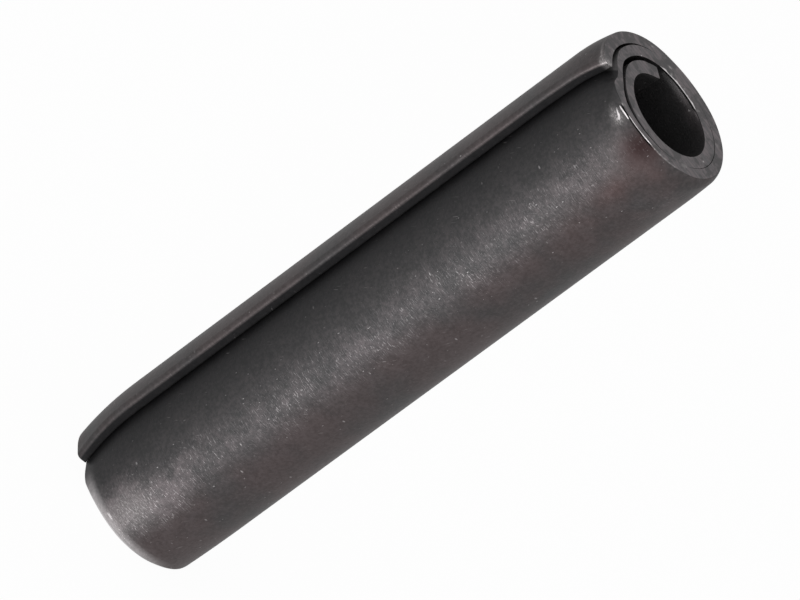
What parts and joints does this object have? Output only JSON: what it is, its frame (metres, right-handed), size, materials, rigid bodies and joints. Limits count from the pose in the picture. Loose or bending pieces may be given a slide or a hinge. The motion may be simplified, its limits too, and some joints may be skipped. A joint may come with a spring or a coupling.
{
  "type": "coiled spring pin",
  "caption": "Coiled spring pin: a steel strip rolled into a spiral tube with swaged ends, pressed into a drilled hole to locate or hold parts.",
  "frame": {"origin": "centre of the bore at the lower end face", "axes": "+Z along the bore's axis from the lower end face to the upper one; the lip runs along the pin on the -X side"},
  "size_m": [0.0085, 0.0078, 0.035],
  "materials": {
    "spring_steel": "hardened spring steel with a dark phosphate and oil finish, satin"
  },
  "bodies": {
    "root": {"coiled_pin": "spring_steel"}
  },
  "joints": []
}
